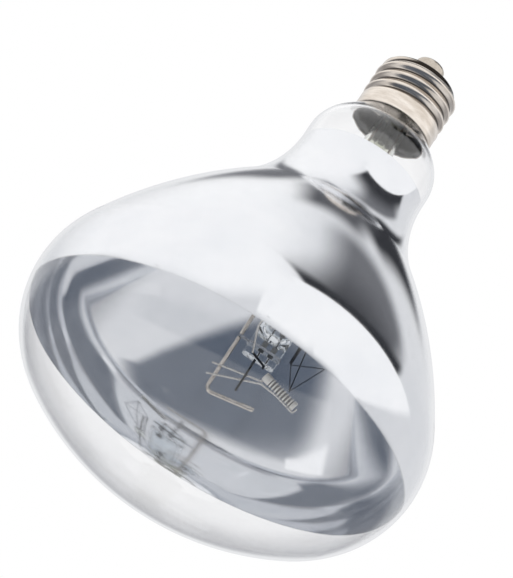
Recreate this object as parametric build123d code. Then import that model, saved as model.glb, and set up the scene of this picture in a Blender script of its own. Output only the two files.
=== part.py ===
from build123d import *
import os
from math import acos, asin, atan2, cos, degrees, radians, sin, sqrt, tan

# Self-ballasted mercury vapour reflector bulb on a 27 mm round-thread screw cap.
# The origin is the tip of the centre contact. +Z runs along the bulb's axis, from
# the cap to the clear front. The support rod stands on the +X side of the arc tube.
# All sizes are in millimetres and all angles in degrees.

# Screw cap
CAP_LENGTH = 27.0             # contact tip to the rim of the shell
CONTACT_REACH = 7.6           # contact tip to the closed end of the shell
THREAD_DIAMETER = 26.05       # over the crests
THREAD_PITCH = 3.629
THREAD_DEPTH = 0.93
THREAD_TURNS = 4
CAP_WALL = 0.35
SKIRT_STEP = 0.35             # how much narrower than the crests the plain band is
SKIRT_EDGE = 0.7              # rounding where the band meets the thread
SHELL_END_ROUND = 2.5
SHELL_OPENING = 17.0          # hole in the closed end, filled by the insulator
INSULATOR_FLANGE = 2.0        # height of the insulator inside the shell
FIT_GAP = 0.02                # between pieces that are pressed, fused or welded together
CONTACT_DIAMETER = 9.4
CONTACT_HEIGHT = 3.8
CONTACT_ROUND = 1.5
CONTACT_SOLDER_DIAMETER = 4.2
CONTACT_SOLDER_HEIGHT = 0.5
CEMENT_THICKNESS = 0.8
CEMENT_HEIGHT = 7.0
CEMENT_BELOW_RIM = 1.2

# Blown glass
BULB_DIAMETER = 125.0
NECK_DIAMETER = 40.9
NECK_STRAIGHT = 3.2
NECK_DEPTH = 10.5             # how far the glass reaches down into the cap
NECK_FLARE_RADIUS = 4.0
SHOULDER_ANGLE = 42.0
SHOULDER_RADIUS = 12.5
THROAT_RADIUS = 39.9
THROAT_ANGLE = 44.3           # steepest slope of the cone
CROWN_ANGLE = 25.8            # slope where the cone meets the rim
RIM_RADIUS = 31.0
FACE_RADIUS = 85.5
GLASS_WALL = 1.0
RIM_SEAT_GAP = 0.05           # glass to the rim of the cap

# Mirror film
COAT_THICKNESS = 0.1
COAT_GAP = 0.06               # film to the inside of the glass
COAT_PAST_WIDEST = 7.6        # front edge, ahead of the widest part
COAT_ABOVE_NECK = 1.5         # back edge, above the straight neck

# Stem and leads
STEM_DIAMETER = 10.0
STEM_WALL = 1.0
STEM_FLARE_RADIUS = 8.0
STEM_HEIGHT = 21.0            # top of the round tube above the rim of the cap
PRESS_BLEND = 6.0
PRESS_HEIGHT = 8.0
PRESS_WIDTH = 13.0
PRESS_THICKNESS = 4.4
PRESS_CORNER = 1.6
EXHAUST_DIAMETER = 3.6
EXHAUST_WALL = 0.7
EXHAUST_TIP_ROUND = 1.4
EXHAUST_DROP = 1.0            # tipped-off end below the flare of the stem
LEAD_DIAMETER = 0.7
LEAD_CLEARANCE = 0.25         # lead to the bore of the stem
LEAD_STUB = 1.0               # lead past the top of the press
LEAD_BEND = 2.0
SHELL_SOLDER_DIAMETER = 3.0

# Arc tube
ARC_DIAMETER = 10.8
ARC_LENGTH = 45.0
ARC_WALL = 1.2
ARC_ABOVE_PRESS = 7.0
ROD_TO_ARC_TUBE = 2.1
PINCH_LENGTH = 10.0
PINCH_BLEND = 3.0
PINCH_WIDTH = 10.2
PINCH_THICKNESS = 3.2
PINCH_CORNER = 1.2
CHAMBER_END_ROUND = 2.6
TIP_OFF_DIAMETER = 2.6
TIP_OFF_END_DIAMETER = 1.0
TIP_OFF_HEIGHT = 1.4
FOIL_WIDTH = 1.6
FOIL_LENGTH = 4.0
FOIL_THICKNESS = 0.1
FOIL_FROM_END = 2.5
ELECTRODE_DIAMETER = 0.8
ELECTRODE_HEAD_DIAMETER = 2.2
ELECTRODE_HEAD_LENGTH = 4.0
ELECTRODE_REACH = 6.0         # past the end of the chamber
FRONT_ELECTRODE_SHIFT = -2.25  # from the arc tube's axis, along X
PROBE_SHIFT = 0.85
PROBE_DIAMETER = 0.5
PROBE_REACH = 4.0
MERCURY_BEAD_DIAMETER = 1.6

# Frame that carries the arc tube
ROD_DIAMETER = 1.2
ROD_PAST_ARC_TUBE = 16.2      # bend of the rod, ahead of the arc tube
ROD_BEND = 2.2
ROD_FOOT = (-14.3, -6.2, 0)   # free leg, from the bend
STRAP_WIDTH = 0.8
STRAP_THICKNESS = 0.3
STRAP_PAST_ROD = 0.6
FRONT_STRAP_BACK = 3.9        # behind the front of the arc tube
ARC_LEAD_DIAMETER = 0.7
ARC_LEAD_BEND = 0.8
REAR_LEAD_DROP = 2.2
FRONT_LEAD_RISE = 1.2
FRONT_LEAD_SHIFT = 2.55       # folded end, from the arc tube's axis along X
FRONT_LEAD_FOLD = 0.6         # folded end, behind the front of the arc tube
FEED_DIAMETER = 0.6
FEED_GAP = 1.6                # feed wire's axis to the arc tube's wall
FEED_ANGLE = -41.0            # feed wire around the arc tube, from +X
FEED_RISE = 5.0               # foot of the feed wire, past the rear of the arc tube
FEED_BEND = 1.5

# Starting resistor and its wires, placed from the front of the arc tube
RESISTOR_DIAMETER = 2.9
RESISTOR_RIB = 0.35
RESISTOR_RIBS = 8
RESISTOR_NEAR = (-3.8, -4.0, 4.4)
RESISTOR_FAR = (-15.8, -4.0, 7.5)
RESISTOR_END_LENGTH = 2.6     # plain sleeve at the end beside the rod
RESISTOR_FAR_LENGTH = 1.4
TIE_DIAMETER = 0.55
TIE_LEFT_END = (10.6, 8.1)    # X and Z of the free end
TIE_INSET = 0.95              # other end, along the resistor from its near end
BRACE_LEFT_END = (10.4, 12.4)
BRACE_END_GAP = 0.3
BRACE_ROD_GAP = 0.4
BRACE_KNEE = (-4.15, 7.2)
PROBE_LEAD_PAST = 4.2         # dark lead beyond the brace wire

# Ballast filament and its supports, placed from the front of the arc tube
FILAMENT_DIAMETER = 0.5       # over the coil
FILAMENT_BEND = 0.7
POST_DIAMETER = 0.7
POST_GAP = 2.9                # post's axis to the arc tube's wall, along X
POST_BACK = 2.0               # post behind the arc tube's axis, along Y
POST_END = -6.2
POST_RISE = 2.0
FILAMENT_SIDE = (-9.1, -10.8)   # corners, as X from the post and Z
FILAMENT_FRONT = (-3.9, 1.4)
FILAMENT_RETURN_FORWARD = 2.4   # return span in front of the post, along -Y
FILAMENT_RETURN_END = -5.0
FILAMENT_TAIL = (0.5, -5.2)     # X and Y from the post
FILAMENT_TAIL_RISE = 9.0        # past the rear of the arc tube
BEAD_DIAMETER = 4.4
BEAD_HEIGHT = 6.0
BEAD_RISE = 17.0              # past the rear of the arc tube
BEAD_ROUND = 1.0
HOOK_DIAMETER = 0.35
HOOK_RING = 1.35              # hooks around the post, inside the bead
HOOK_SINK = 1.5               # hooks into the bead
HOOK_ANGLES = (180, 120, -60)   # around the post, from +X

# Stations along the axis
RIM_Z = CAP_LENGTH
THREAD_TOP_Z = CONTACT_REACH + THREAD_TURNS * THREAD_PITCH
INSULATOR_Z = CONTACT_REACH + CAP_WALL + FIT_GAP
INSULATOR_TOP_Z = INSULATOR_Z + INSULATOR_FLANGE
NECK_END_Z = RIM_Z - NECK_DEPTH
STEM_TOP_Z = RIM_Z + STEM_HEIGHT
PRESS_Z = STEM_TOP_Z + PRESS_BLEND
PRESS_TOP_Z = PRESS_Z + PRESS_HEIGHT
ARC_REAR_Z = PRESS_TOP_Z + ARC_ABOVE_PRESS
ARC_FRONT_Z = ARC_REAR_Z + ARC_LENGTH
ROD_BASE_Z = PRESS_TOP_Z + LEAD_STUB
SHELL_SOLDER_Z = CONTACT_REACH + THREAD_PITCH * 3 / 4
LEAD_KNEE_Z = NECK_END_Z - EXHAUST_DROP
BEAD_BASE_Z = ARC_REAR_Z + BEAD_RISE

# Radii and places that follow from the sizes above
CAP_BORE_R = THREAD_DIAMETER / 2 - THREAD_DEPTH - CAP_WALL
SKIRT_DIAMETER = THREAD_DIAMETER - SKIRT_STEP
SKIRT_BORE_R = SKIRT_DIAMETER / 2 - CAP_WALL
NECK_END_R = CAP_BORE_R - CEMENT_THICKNESS
STEM_BORE_R = STEM_DIAMETER / 2 - STEM_WALL
LEAD_X = STEM_BORE_R - LEAD_DIAMETER / 2 - LEAD_CLEARANCE
ROD_X = LEAD_X
ARC_X = ROD_X - ROD_DIAMETER / 2 - ROD_TO_ARC_TUBE - ARC_DIAMETER / 2
FRONT_ELECTRODE_X = ARC_X + FRONT_ELECTRODE_SHIFT
PROBE_X = ARC_X + PROBE_SHIFT
POST_X = ARC_X - ARC_DIAMETER / 2 - POST_GAP
ARC_FRONT = Vector(ARC_X, 0, ARC_FRONT_Z)
RESISTOR_START = ARC_FRONT + Vector(*RESISTOR_NEAR)
RESISTOR_END = ARC_FRONT + Vector(*RESISTOR_FAR)
POST_TOP = Vector(POST_X, POST_BACK, ARC_FRONT_Z + POST_END)

UP = (0, 1)
DOWN = (0, -1)


def turned(edges):
    """Solid of a closed outline, drawn as radius and height, turned about the axis."""
    return revolve(Plane.XZ * make_face(Curve() + edges), Axis.Z)


def closed(points):
    """Straight edges that join the points and close the outline."""
    return list(Polyline(*points, close=True).edges())


def rod(start, end, diameter):
    """Straight round bar between two points."""
    path = Line(start, end)
    return sweep(Plane(path @ 0, z_dir=path % 0) * Circle(diameter / 2), path=path)


def wire(points, diameter, bend):
    """Round wire through the points, with rounded bends."""
    path = FilletPolyline(*points, radius=bend)
    return sweep(Plane(path @ 0, z_dir=path % 0) * Circle(diameter / 2), path=path)


def slab(radius, low, high):
    """Round disc that is wide enough to cut everything between two heights."""
    return Pos(0, 0, (low + high) / 2) * Cylinder(radius, high - low)


def flat_section(width, thickness, corner, x, z):
    """Rounded oblong across the axis, as a press leaves it."""
    return Pos(x, 0, z) * RectangleRounded(width, thickness, corner)


def upright_hole(x, diameter, low, high, y=0):
    """Round hole parallel to the axis, with the fit gap all round."""
    return Pos(x, y, (low + high) / 2) * Cylinder(diameter / 2 + FIT_GAP, high - low)


def save(node, shape):
    """Write one piece to its own file."""
    export_step(shape, f"parts/{node}.step")


def glass_outline(depth):
    """Tangent arcs of the blown form, from the neck's end to the axis, at a depth in the wall."""
    shoulder = radians(SHOULDER_ANGLE)
    throat = radians(THROAT_ANGLE)
    crown = radians(CROWN_ANGLE)
    bulb_r = BULB_DIAMETER / 2
    neck_r = NECK_DIAMETER / 2
    seat_r = SKIRT_BORE_R - RIM_SEAT_GAP

    flare_gain = NECK_FLARE_RADIUS * (1 - cos(shoulder))
    flare_rise = NECK_FLARE_RADIUS * sin(shoulder)
    shoulder_gain = SHOULDER_RADIUS * (1 - cos(shoulder))
    cone_gain = neck_r - NECK_END_R - flare_gain - shoulder_gain
    seat_drop = (seat_r - NECK_END_R - flare_gain) / tan(shoulder)
    tube_top = RIM_Z - seat_drop - flare_rise

    throat_gain = THROAT_RADIUS * (1 - cos(throat))
    crown_gain = RIM_RADIUS * (1 - cos(crown))
    body_gain = bulb_r - neck_r - throat_gain - crown_gain
    body_radius = body_gain / (cos(crown) - cos(throat))

    face_drop = sqrt((FACE_RADIUS - RIM_RADIUS) ** 2 - (bulb_r - RIM_RADIUS) ** 2)
    face_turn = degrees(atan2(face_drop, bulb_r - RIM_RADIUS))

    tube = Line((NECK_END_R - depth, NECK_END_Z), (NECK_END_R - depth, tube_top))
    flare = JernArc(tube @ 1, UP, NECK_FLARE_RADIUS + depth, -SHOULDER_ANGLE)
    cone = Line(flare @ 1, flare @ 1 + (flare % 1) * (cone_gain / sin(shoulder)))
    rounding = JernArc(cone @ 1, cone % 1, SHOULDER_RADIUS - depth, SHOULDER_ANGLE)
    neck = Line(rounding @ 1, rounding @ 1 + Vector(0, NECK_STRAIGHT))
    throat_arc = JernArc(neck @ 1, UP, THROAT_RADIUS + depth, -THROAT_ANGLE)
    body = JernArc(throat_arc @ 1, throat_arc % 1, body_radius - depth, THROAT_ANGLE - CROWN_ANGLE)
    rim = JernArc(body @ 1, body % 1, RIM_RADIUS - depth, CROWN_ANGLE + face_turn)
    face = JernArc(rim @ 1, rim % 1, FACE_RADIUS - depth, 90 - face_turn)
    return {
        "tube": tube, "flare": flare, "cone": cone, "rounding": rounding, "neck": neck,
        "throat": throat_arc, "body": body, "rim": rim, "face": face,
    }


def glass_form(depth):
    """Solid bounded by the blown form at a depth in the wall."""
    outline = glass_outline(depth)
    low = outline["tube"] @ 0
    apex = outline["face"] @ 1
    axis = Line((0, apex.Y), (0, low.Y))
    return turned([*outline.values(), axis, Line((0, low.Y), low)])


def widest_z():
    """Height of the widest part of the glass."""
    body = glass_outline(0)["body"]
    return (body @ 1).Y + RIM_RADIUS * sin(radians(CROWN_ANGLE))


def neck_top_z():
    """Height where the straight neck opens into the cone."""
    return (glass_outline(0)["neck"] @ 1).Y


def glass_envelope():
    """Blown glass, open only where the stem is sealed into the neck."""
    return glass_form(0) - glass_form(GLASS_WALL)


def reflector_coating():
    """Mirror film on the inside of the glass, between its two masked edges."""
    outside = GLASS_WALL + COAT_GAP
    film = glass_form(outside) - glass_form(outside + COAT_THICKNESS)
    back = neck_top_z() + COAT_ABOVE_NECK
    front = widest_z() + COAT_PAST_WIDEST
    return film & slab(BULB_DIAMETER, back, front)


def thread_form(depth):
    """Solid with the round profile of the thread, as rings at its pitch, at a depth in the sheet."""
    crest_r = THREAD_DIAMETER / 2 - depth
    mean_r = crest_r - THREAD_DEPTH / 2
    root_r = crest_r - THREAD_DEPTH
    half = THREAD_PITCH / 2
    outline = [Line((0, CONTACT_REACH), (mean_r, CONTACT_REACH))]
    for turn in range(THREAD_TURNS):
        low = CONTACT_REACH + turn * THREAD_PITCH
        for base, peak_r in ((low, crest_r), (low + half, root_r)):
            outline.append(ThreePointArc((mean_r, base), (peak_r, base + half / 2), (mean_r, base + half)))
    outline.append(Line((mean_r, THREAD_TOP_Z), (0, THREAD_TOP_Z)))
    return turned(outline + [Line((0, THREAD_TOP_Z), (0, CONTACT_REACH))])


def rounded_disc(radius, low, high, rounding):
    """Round disc between two heights, rounded at its lower edge."""
    disc = slab(radius, low, high)
    return fillet(disc.edges().sort_by(Axis.Z)[0], rounding)


def shell_form(depth):
    """Solid bounded by the shell at a depth in its sheet: rounded end, rolled thread and plain skirt."""
    proud = THREAD_DEPTH / 2 - depth
    limit = rounded_disc(THREAD_DIAMETER / 2 + proud, CONTACT_REACH + depth, RIM_Z, SHELL_END_ROUND + proud)
    skirt = rounded_disc(
        SKIRT_DIAMETER / 2 - depth, THREAD_TOP_Z - SKIRT_EDGE + depth, RIM_Z, SKIRT_EDGE - depth)
    return (thread_form(depth) & limit) + skirt


def cap_shell():
    """Sheet shell with a round thread rolled into it, a plain skirt and an open end."""
    return shell_form(0) - shell_form(CAP_WALL) - slab(SHELL_OPENING / 2, 0, RIM_Z)


def cap_insulator():
    """Cone of cap glass that closes the shell and carries the contact."""
    flange_r = CAP_BORE_R - SHELL_END_ROUND + CAP_WALL - FIT_GAP
    plug_r = SHELL_OPENING / 2 - FIT_GAP
    hole_r = LEAD_DIAMETER / 2 + FIT_GAP
    return turned(closed([
        (hole_r, CONTACT_HEIGHT),
        (CONTACT_DIAMETER / 2, CONTACT_HEIGHT),
        (plug_r, CONTACT_REACH),
        (plug_r, INSULATOR_Z),
        (flange_r, INSULATOR_Z),
        (flange_r, INSULATOR_TOP_Z),
        (hole_r, INSULATOR_TOP_Z),
    ]))


def centre_contact():
    """Rounded button with a hole for its lead."""
    button = rounded_disc(CONTACT_DIAMETER / 2, CONTACT_SOLDER_HEIGHT, CONTACT_HEIGHT, CONTACT_ROUND)
    return button - upright_hole(0, LEAD_DIAMETER, 0, CONTACT_HEIGHT)


def solder_dome(diameter, height):
    """Shallow dome of solder, flat on the XY plane and bulging to -Z."""
    radius = (height ** 2 + diameter ** 2 / 4) / (2 * height)
    edge_angle = degrees(acos(1 - height / radius))
    arc = JernArc((0, -height), (1, 0), radius, edge_angle)
    return turned([arc, Line(arc @ 1, (0, 0)), Line((0, 0), (0, -height))])


def contact_solder():
    """Solder spot over the end of the contact's lead."""
    dome = solder_dome(CONTACT_SOLDER_DIAMETER, CONTACT_SOLDER_HEIGHT)
    return Pos(0, 0, CONTACT_SOLDER_HEIGHT) * dome


def shell_solder():
    """Solder joint on the first ridge inside the shell, drilled by its lead."""
    joint = Pos(CAP_BORE_R, 0, SHELL_SOLDER_Z) * Sphere(SHELL_SOLDER_DIAMETER / 2)
    joint = joint & slab(CAP_BORE_R - FIT_GAP, CONTACT_REACH, RIM_Z)
    return joint - upright_hole(shell_lead_x(), LEAD_DIAMETER, SHELL_SOLDER_Z, RIM_Z)


def shell_lead_x():
    """Place of the shell's lead, clear of the shell's bore."""
    return CAP_BORE_R - LEAD_DIAMETER


def basing_cement():
    """Ring of cement that fills the gap between the shell and the glass."""
    top = RIM_Z - CEMENT_BELOW_RIM
    low = top - CEMENT_HEIGHT
    ring = shell_form(CAP_WALL + FIT_GAP) & slab(THREAD_DIAMETER, low, top)
    return ring - glass_form(0)


def stem_flare_angle():
    """Turn of the flare, from the round tube to the bore of the neck."""
    spread = stem_rim_r() - STEM_DIAMETER / 2
    return degrees(acos(1 - spread / STEM_FLARE_RADIUS))


def stem_rim_r():
    """Radius of the flare where it is sealed to the neck."""
    return NECK_END_R - GLASS_WALL - FIT_GAP


def stem():
    """Flared tube, drawn in to a flat press that seals the leads."""
    turn = stem_flare_angle()
    bend_z = NECK_END_Z + STEM_FLARE_RADIUS * sin(radians(turn))
    tube_r = STEM_DIAMETER / 2
    outside = Line((tube_r, STEM_TOP_Z), (tube_r, bend_z))
    flare = JernArc(outside @ 1, DOWN, STEM_FLARE_RADIUS, turn)
    inside = Line((STEM_BORE_R, STEM_TOP_Z), (STEM_BORE_R, bend_z))
    bore = JernArc(inside @ 1, DOWN, STEM_FLARE_RADIUS + STEM_WALL, turn)
    tube = turned([
        outside, flare, Line(flare @ 1, bore @ 1), bore, inside, Line(inside @ 0, outside @ 0),
    ])
    press = flat_section(PRESS_WIDTH, PRESS_THICKNESS, PRESS_CORNER, 0, PRESS_Z)
    blend = loft([Pos(0, 0, STEM_TOP_Z) * Circle(tube_r), press])
    body = tube + blend + extrude(press, PRESS_HEIGHT)
    for x in (LEAD_X, -LEAD_X):
        body -= upright_hole(x, LEAD_DIAMETER, STEM_TOP_Z - STEM_WALL, PRESS_TOP_Z)
    return body


def exhaust_tube():
    """Thin tube inside the stem, with its lower end melted shut."""
    radius = EXHAUST_DIAMETER / 2
    low = NECK_END_Z - EXHAUST_DROP
    top = STEM_TOP_Z - FIT_GAP
    outside = rounded_disc(radius, low, top, EXHAUST_TIP_ROUND)
    return outside - slab(radius - EXHAUST_WALL, low + radius, top)


def shell_lead():
    """Lead on the rod's side, from the press to the shell."""
    x = shell_lead_x()
    turn_z = SHELL_SOLDER_Z + SHELL_SOLDER_DIAMETER / 2
    return wire(
        [
            (x, 0, SHELL_SOLDER_Z),
            (x, 0, turn_z),
            (LEAD_X, 0, LEAD_KNEE_Z),
            (LEAD_X, 0, ROD_BASE_Z),
        ],
        LEAD_DIAMETER, LEAD_DIAMETER,
    )


def contact_lead():
    """Lead from the press, down the axis to the centre contact."""
    knee_z = INSULATOR_TOP_Z + LEAD_BEND / 2
    return wire(
        [
            (0, 0, CONTACT_SOLDER_HEIGHT),
            (0, 0, knee_z),
            (-LEAD_X, 0, LEAD_KNEE_Z),
            (-LEAD_X, 0, ROD_BASE_Z),
        ],
        LEAD_DIAMETER, LEAD_BEND / 2,
    )


def chamber():
    """Hollow of the arc tube."""
    low, high = chamber_ends()
    hollow = Pos(ARC_X, 0, 0) * slab(ARC_DIAMETER / 2 - ARC_WALL, low, high)
    return fillet(hollow.edges().filter_by(GeomType.CIRCLE), CHAMBER_END_ROUND)


def chamber_ends():
    """Lowest and highest point of the arc tube's hollow."""
    return ARC_REAR_Z + PINCH_LENGTH - ARC_WALL, ARC_FRONT_Z - PINCH_LENGTH + ARC_WALL


def pinched_end(tube_z, end_z, along):
    """Flat pressed end of the arc tube, blended into the round tube."""
    flat_z = tube_z + along * PINCH_BLEND
    pinch = flat_section(PINCH_WIDTH, PINCH_THICKNESS, PINCH_CORNER, ARC_X, flat_z)
    blend = loft([Pos(ARC_X, 0, tube_z) * Circle(ARC_DIAMETER / 2), pinch])
    return blend + extrude(pinch, abs(end_z - flat_z), dir=(0, 0, along))


def seal_cut(x, wire_diameter, along):
    """Room in a pressed end for the foil, the electrode before it and the lead behind it."""
    low, high = foil_span(along)
    foil = Pos(x, 0, (low + high) / 2) * Box(
        FOIL_WIDTH + 2 * FIT_GAP, FOIL_THICKNESS + 2 * FIT_GAP, FOIL_LENGTH + 2 * FIT_GAP)
    chamber_z = chamber_ends()[1] if along > 0 else chamber_ends()[0]
    end_z = ARC_FRONT_Z if along > 0 else ARC_REAR_Z
    inner = high if along < 0 else low
    outer = low if along < 0 else high
    reach = ARC_WALL * along
    electrode = upright_hole(x, wire_diameter, *sorted((inner, chamber_z - reach)))
    lead = upright_hole(x, ARC_LEAD_DIAMETER, *sorted((outer, end_z + reach)))
    return foil + electrode + lead


def foil_span(along):
    """Lowest and highest point of the foils in the front (1) or rear (-1) pressed end."""
    if along > 0:
        high = ARC_FRONT_Z - FOIL_FROM_END
        return high - FOIL_LENGTH, high
    low = ARC_REAR_Z + FOIL_FROM_END
    return low, low + FOIL_LENGTH


def arc_tube():
    """Quartz tube with two pressed ends and the scar where it was filled."""
    rear_z = ARC_REAR_Z + PINCH_LENGTH
    front_z = ARC_FRONT_Z - PINCH_LENGTH
    body = Pos(ARC_X, 0, 0) * slab(ARC_DIAMETER / 2, rear_z, front_z)
    body += pinched_end(rear_z, ARC_REAR_Z, -1) + pinched_end(front_z, ARC_FRONT_Z, 1)
    scar = Plane((ARC_X, ARC_DIAMETER / 2 - ARC_WALL / 2, (rear_z + front_z) / 2), z_dir=(0, 1, 0))
    body += scar * Pos(0, 0, (TIP_OFF_HEIGHT + ARC_WALL / 2) / 2) * Cone(
        TIP_OFF_DIAMETER / 2, TIP_OFF_END_DIAMETER / 2, TIP_OFF_HEIGHT + ARC_WALL / 2)
    body -= chamber()
    body -= seal_cut(ARC_X, ELECTRODE_DIAMETER, -1)
    body -= seal_cut(FRONT_ELECTRODE_X, ELECTRODE_DIAMETER, 1)
    return body - seal_cut(PROBE_X, PROBE_DIAMETER, 1)


def electrode(x, along):
    """Tungsten rod with a wound head, from its foil into the chamber."""
    low, high = foil_span(along)
    foil_z = low - FIT_GAP if along > 0 else high + FIT_GAP
    chamber_z = chamber_ends()[1] if along > 0 else chamber_ends()[0]
    tip_z = chamber_z - along * ELECTRODE_REACH
    head_z = tip_z + along * ELECTRODE_HEAD_LENGTH
    shank = rod((x, 0, foil_z), (x, 0, tip_z), ELECTRODE_DIAMETER)
    return shank + rod((x, 0, head_z), (x, 0, tip_z), ELECTRODE_HEAD_DIAMETER)


def starting_probe():
    """Thin wire beside the front electrode."""
    low, _ = foil_span(1)
    tip_z = chamber_ends()[1] - PROBE_REACH
    return rod((PROBE_X, 0, low - FIT_GAP), (PROBE_X, 0, tip_z), PROBE_DIAMETER)


def seal_foils():
    """Three thin foils that carry the current through the pressed ends."""
    foils = Part()
    for x, along in ((ARC_X, -1), (FRONT_ELECTRODE_X, 1), (PROBE_X, 1)):
        low, high = foil_span(along)
        foils += Pos(x, 0, (low + high) / 2) * Box(FOIL_WIDTH, FOIL_THICKNESS, FOIL_LENGTH)
    return foils


def mercury_bead():
    """Drop of mercury in the rear end of the chamber."""
    radius = MERCURY_BEAD_DIAMETER / 2
    return Pos(ARC_X, CHAMBER_END_ROUND / 2, chamber_ends()[0] + radius + FIT_GAP) * Sphere(radius)


def support_rod():
    """Thick rod beside the arc tube, with its free end bent over in front."""
    corner = Vector(ROD_X, 0, ARC_FRONT_Z + ROD_PAST_ARC_TUBE)
    return wire([(ROD_X, 0, ROD_BASE_Z), corner, corner + Vector(*ROD_FOOT)], ROD_DIAMETER, ROD_BEND)


def strap(base_z):
    """Sheet strap around a pressed end, with a tab welded to the rod."""
    middle_z = base_z + STRAP_WIDTH / 2
    inside = (PINCH_WIDTH + 2 * FIT_GAP, PINCH_THICKNESS + 2 * FIT_GAP)
    outside = (inside[0] + 2 * STRAP_THICKNESS, inside[1] + 2 * STRAP_THICKNESS)
    band = flat_section(*outside, PINCH_CORNER + FIT_GAP + STRAP_THICKNESS, ARC_X, base_z)
    band -= flat_section(*inside, PINCH_CORNER + FIT_GAP, ARC_X, base_z)
    side_x = ARC_X + inside[0] / 2 + STRAP_THICKNESS / 2
    end_x = ROD_X + STRAP_PAST_ROD
    tab_y = -ROD_DIAMETER / 2 - FIT_GAP - STRAP_THICKNESS / 2
    tab = Pos((side_x + end_x) / 2, tab_y, middle_z) * Box(
        end_x - side_x, STRAP_THICKNESS, STRAP_WIDTH)
    return extrude(band, STRAP_WIDTH) + tab


def rear_strap():
    """Strap on the pressed end beside the stem."""
    return strap(ARC_REAR_Z + (PINCH_LENGTH - PINCH_BLEND - STRAP_WIDTH) / 2)


def front_strap():
    """Strap on the pressed end beside the clear front."""
    return strap(ARC_FRONT_Z - FRONT_STRAP_BACK)


def rear_electrode_lead():
    """Lead from the rear pressed end, bent over to the rod."""
    foil_z = foil_span(-1)[0] - FIT_GAP
    turn_z = ARC_REAR_Z - REAR_LEAD_DROP
    end_x = ROD_X - ROD_DIAMETER / 2 - FIT_GAP
    return wire(
        [(ARC_X, 0, foil_z), (ARC_X, 0, turn_z), (end_x, 0, turn_z)],
        ARC_LEAD_DIAMETER, ARC_LEAD_BEND,
    )


def front_lead_end():
    """End of the front electrode's lead, beside the feed wire."""
    y = -PINCH_THICKNESS / 2 - ARC_LEAD_DIAMETER / 2 - 2 * FIT_GAP
    return Vector(ARC_X + FRONT_LEAD_SHIFT, y, ARC_FRONT_Z - FRONT_LEAD_FOLD)


def front_electrode_lead():
    """Dark lead out of the front pressed end, folded back across its face."""
    end = front_lead_end()
    turn_z = ARC_FRONT_Z + FRONT_LEAD_RISE
    return wire(
        [
            (FRONT_ELECTRODE_X, 0, foil_span(1)[1] + FIT_GAP),
            (FRONT_ELECTRODE_X, 0, turn_z),
            (FRONT_ELECTRODE_X, end.Y, turn_z),
            end,
        ],
        ARC_LEAD_DIAMETER, ARC_LEAD_BEND,
    )


def feed_foot():
    """Rear end of the feed wire, beside the arc tube."""
    reach = ARC_DIAMETER / 2 + FEED_GAP
    turn = radians(FEED_ANGLE)
    return Vector(ARC_X + reach * cos(turn), reach * sin(turn), ARC_REAR_Z + FEED_RISE)


def feed_wire():
    """Bright wire along the arc tube, from the filament to the front electrode's lead."""
    lead = front_lead_end()
    foot = feed_foot()
    meet_y = lead.Y - ARC_LEAD_DIAMETER / 2 - FEED_DIAMETER / 2 - FIT_GAP
    pinch_z = ARC_FRONT_Z - PINCH_LENGTH + PINCH_BLEND
    return wire(
        [foot, (foot.X, foot.Y, pinch_z), (lead.X, meet_y, lead.Z + FEED_DIAMETER)],
        FEED_DIAMETER, FEED_BEND,
    )


def resistor_axis():
    """Unit vector from the near end of the resistor to its far end."""
    return (RESISTOR_END - RESISTOR_START).normalized()


def starting_resistor():
    """Wound resistor in a sleeve: plain ends and a row of round ribs between them."""
    length = (RESISTOR_END - RESISTOR_START).length
    radius = RESISTOR_DIAMETER / 2
    core_r = radius - RESISTOR_RIB
    pitch = (length - RESISTOR_END_LENGTH - RESISTOR_FAR_LENGTH) / RESISTOR_RIBS
    body = slab(core_r, 0, length)
    near = slab(radius, 0, RESISTOR_END_LENGTH)
    far = slab(radius, length - RESISTOR_FAR_LENGTH, length)
    for sleeve in (near, far):
        body += fillet(sleeve.edges().filter_by(GeomType.CIRCLE), RESISTOR_RIB)
    for count in range(RESISTOR_RIBS):
        height = RESISTOR_END_LENGTH + (count + 0.5) * pitch
        body += Pos(0, 0, height) * Torus(radius - pitch / 4, pitch / 4)
    return Plane(RESISTOR_START, z_dir=resistor_axis()) * body


def beside_resistor(along):
    """Middle of a wire that lies on the resistor's front side, at a distance from its near end."""
    axis = resistor_axis()
    side = Vector(axis.Z, 0, -axis.X)
    return RESISTOR_START + axis * along + side * (RESISTOR_DIAMETER / 2 + TIE_DIAMETER / 2 + FIT_GAP)


def tie_points():
    """Ends of the tie wire, on a line that touches the rod."""
    near = beside_resistor(TIE_INSET)
    across = ROD_X - near.X
    reach = sqrt(across ** 2 + near.Y ** 2)
    touch = (ROD_DIAMETER + TIE_DIAMETER) / 2 + FIT_GAP
    slope = tan(atan2(-near.Y, across) - asin(touch / reach))
    left_x = ARC_X + TIE_LEFT_END[0]
    left = Vector(left_x, near.Y + slope * (left_x - near.X), ARC_FRONT_Z + TIE_LEFT_END[1])
    return left, near


def resistor_tie_wire():
    """Straight wire from the near end of the resistor, welded to the rod on its way."""
    return rod(*tie_points(), TIE_DIAMETER)


def brace_points():
    """Route of the brace wire, past the rod, along the resistor and up its far end."""
    length = (RESISTOR_END - RESISTOR_START).length
    past = TIE_DIAMETER / 2 + BRACE_END_GAP
    rod_y = -(ROD_DIAMETER + TIE_DIAMETER) / 2 - BRACE_ROD_GAP
    return [
        ARC_FRONT + Vector(BRACE_LEFT_END[0], rod_y, BRACE_LEFT_END[1]),
        ARC_FRONT + Vector(BRACE_KNEE[0], RESISTOR_START.Y, BRACE_KNEE[1]),
        beside_resistor(length / 2),
        beside_resistor(length + past),
        RESISTOR_END + resistor_axis() * past,
    ]


def resistor_brace_wire():
    """Bent wire that carries the far end of the resistor and joins it to the probe's lead."""
    return wire(brace_points(), TIE_DIAMETER, TIE_DIAMETER)


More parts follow.
